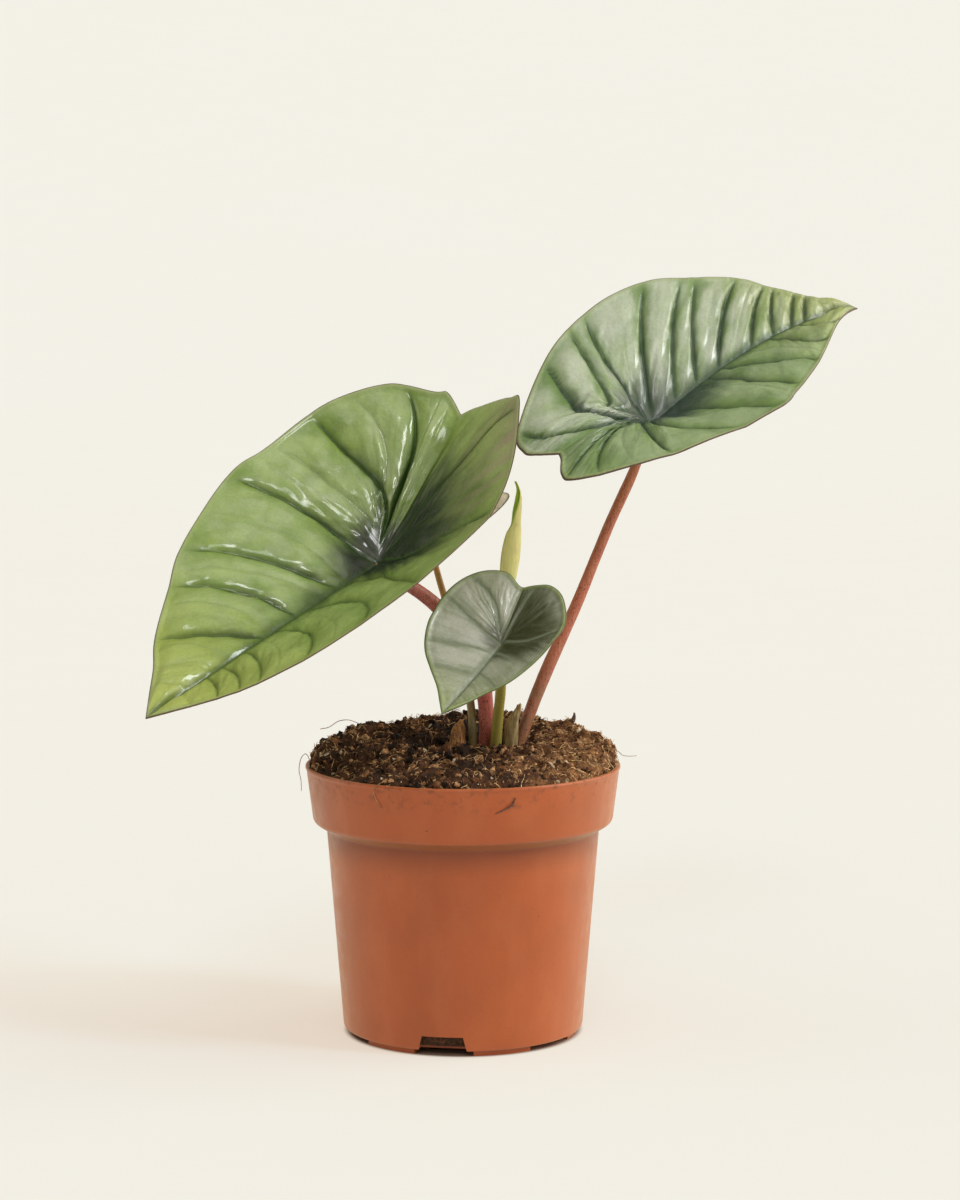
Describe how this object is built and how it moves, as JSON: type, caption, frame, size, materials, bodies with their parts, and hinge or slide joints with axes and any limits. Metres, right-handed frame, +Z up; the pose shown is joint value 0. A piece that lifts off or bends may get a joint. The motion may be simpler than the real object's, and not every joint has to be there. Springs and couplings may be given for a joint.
{
  "type": "potted alocasia plant",
  "caption": "Young alocasia with broad quilted arrow-shaped leaves on slender stalks, growing from a mound of peat in a round nursery pot.",
  "frame": {"origin": "centre of the pot's foot plane, on the pad under the middle of its floor", "axes": "+Z up along the pot's axis; the pictured front, with the small leaf, faces -Y; +X to the right, towards the tall leaf"},
  "size_m": [0.2652, 0.1618, 0.2876],
  "materials": {
    "pot_plastic": "semi-gloss terracotta-coloured moulded plastic",
    "peat": "matt fibrous peat and coir",
    "rhizome_skin": "matt brown skin",
    "leaf_left_skin": "glossy leaf, green to yellow-green",
    "leaf_right_skin": "satin silvery-green leaf",
    "leaf_small_skin": "satin grey-silver young leaf",
    "leaf_back_skin": "satin leaf, paler beneath",
    "petiole_left_skin": "satin speckled pink stalk",
    "petiole_right_skin": "satin speckled pink-brown stalk",
    "petiole_green_skin": "satin yellow-green stalk",
    "petiole_back_skin": "satin ochre stalk",
    "young_leaf_skin": "satin pale yellow-green rolled leaf",
    "sheath_paper": "matt dry sheath",
    "old_stalk": "matt dry stub of an old stalk"
  },
  "bodies": {
    "root": {"pot": "pot_plastic", "soil": "peat", "rhizome": "rhizome_skin", "blade_left": "leaf_left_skin", "blade_right": "leaf_right_skin", "blade_small": "leaf_small_skin", "blade_back": "leaf_back_skin", "petiole_left": "petiole_left_skin", "petiole_right": "petiole_right_skin", "petiole_small": "petiole_green_skin", "petiole_back": "petiole_back_skin", "rolled_leaf": "young_leaf_skin", "rolled_leaf_stalk": "petiole_green_skin", "sheath": "sheath_paper", "old_stub": "old_stalk"}
  },
  "joints": []
}
